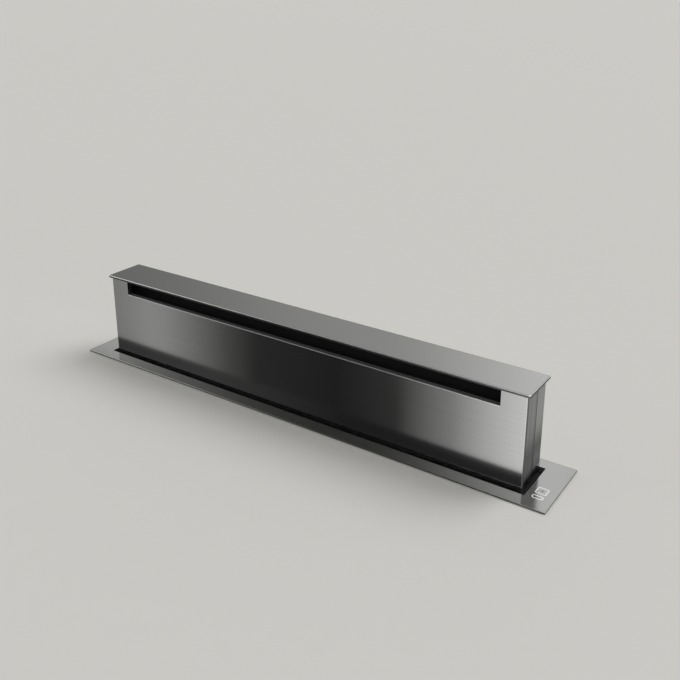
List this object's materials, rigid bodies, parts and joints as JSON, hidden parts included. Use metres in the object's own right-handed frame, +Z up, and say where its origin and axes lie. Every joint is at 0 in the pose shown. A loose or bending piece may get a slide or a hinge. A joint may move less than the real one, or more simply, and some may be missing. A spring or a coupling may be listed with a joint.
{
  "type": "downdraft vent",
  "caption": "Retractable worktop extractor: a slotted stainless riser lifts out of a trim plate, over a housing with lift drive, blower and duct collar.",
  "frame": {"origin": "middle of the trim plate at the worktop surface, on the underside of the gasket", "axes": "+Z up out of the worktop, +X along the vent to the end with the touch keys, -Y towards the hob and the intake slot"},
  "size_m": [0.938, 0.2958, 0.656],
  "materials": {
    "plate_stainless": "satin, brushed along its length",
    "riser_stainless": "satin, brushed upright",
    "key_glass": "smooth smoked window with white symbols",
    "black_plastic": "fine moulded grain",
    "circuit_board": "green lacquer",
    "gasket_foam": "closed-cell foam",
    "seal_rubber": "extruded, matt",
    "lead_jacket": "smooth cable jacket",
    "galvanised": "zinc coated sheet",
    "black_steel": "black powder coat",
    "filter_aluminium": "anodised",
    "machined_steel": "machined, lightly oiled",
    "blower_wheel": "dark coated steel",
    "nylon": "natural nylon",
    "bronze": "sintered bronze",
    "zinc_screw": "bright zinc",
    "capacitor_can": "moulded can",
    "magnet": "nickel coated"
  },
  "bodies": {
    "housing": {"trim_plate": "plate_stainless", "key_windows": "key_glass", "touch_case": "black_plastic", "control_box": "black_plastic", "control_cover": "black_plastic", "mains_gland": "black_plastic", "lead_clips": "black_plastic", "duct_collar": "black_plastic", "touch_board": "circuit_board", "control_board": "circuit_board", "limit_sensors": "circuit_board", "plate_gasket": "gasket_foam", "riser_seal": "seal_rubber", "touch_lead": "lead_jacket", "top_frame": "galvanised", "housing_front": "galvanised", "housing_back": "galvanised", "housing_left": "galvanised", "housing_right": "galvanised", "housing_floor": "galvanised", "guide_rails": "galvanised", "motor_bracket": "galvanised", "blower_box": "galvanised", "blower_cover": "galvanised", "scroll_shell": "galvanised", "inlet_plate": "galvanised", "outlet_transition": "galvanised", "base_brackets": "galvanised", "clamp_brackets": "galvanised", "fan_motor": "black_steel", "lift_motor": "black_steel", "lift_gearbox": "filter_aluminium", "flap_pin": "machined_steel", "shaft_bearings": "bronze", "sheet_screws": "zinc_screw", "clamp_screws": "zinc_screw", "capacitor": "capacitor_can"},
    "riser": {"lid": "riser_stainless", "front_panel": "riser_stainless", "rear_panel": "riser_stainless", "side_frames": "riser_stainless", "baffle": "black_steel", "filter_frame_left": "filter_aluminium", "filter_frame_middle": "filter_aluminium", "filter_frame_right": "filter_aluminium", "filter_meshes": "filter_aluminium", "filter_tray": "black_steel", "bottom_frame": "black_steel", "racks": "machined_steel", "glide_shoes": "nylon", "position_magnet": "magnet"},
    "cross_shaft": {"cross_shaft": "machined_steel", "rack_pinions": "machined_steel", "shaft_gear": "machined_steel"},
    "motor_pinion": {"motor_pinion": "machined_steel"},
    "impeller": {"impeller": "blower_wheel", "motor_shaft": "machined_steel"},
    "flap_front": {"flap_front": "filter_aluminium"},
    "flap_rear": {"flap_rear": "filter_aluminium"}
  },
  "joints": [
    {"name": "riser_lift", "type": "slide", "parent": "housing", "child": "riser", "axis": [0, 0, 1], "range_m": [-0.153, 0]},
    {"name": "shaft_spin", "type": "hinge", "parent": "housing", "child": "cross_shaft", "pos_m": [0, 0, -0.275], "axis": [1, 0, 0], "range_deg": [-650, 0]},
    {"name": "motor_pinion_spin", "type": "hinge", "parent": "housing", "child": "motor_pinion", "pos_m": [0.33, 0, -0.299], "axis": [1, 0, 0], "range_deg": [0, 1300]},
    {"name": "impeller_spin", "type": "hinge", "parent": "housing", "child": "impeller", "pos_m": [0, -0.1, -0.345], "axis": [0, 1, 0], "continuous": true},
    {"name": "flap_front_swing", "type": "hinge", "parent": "housing", "child": "flap_front", "pos_m": [-0.174, -0.13, -0.27], "axis": [0, 0, -1], "range_deg": [0, 80], "stiffness_Nm_per_rad": 0.02},
    {"name": "flap_rear_swing", "type": "hinge", "parent": "housing", "child": "flap_rear", "pos_m": [-0.174, -0.13, -0.27], "axis": [0, 0, 1], "range_deg": [0, 80], "stiffness_Nm_per_rad": 0.02}
  ],
  "couplings": [
    {"joint": "shaft_spin", "follows": "riser_lift", "rad_per_m": 74.074},
    {"joint": "motor_pinion_spin", "follows": "riser_lift", "rad_per_m": -148.15}
  ]
}
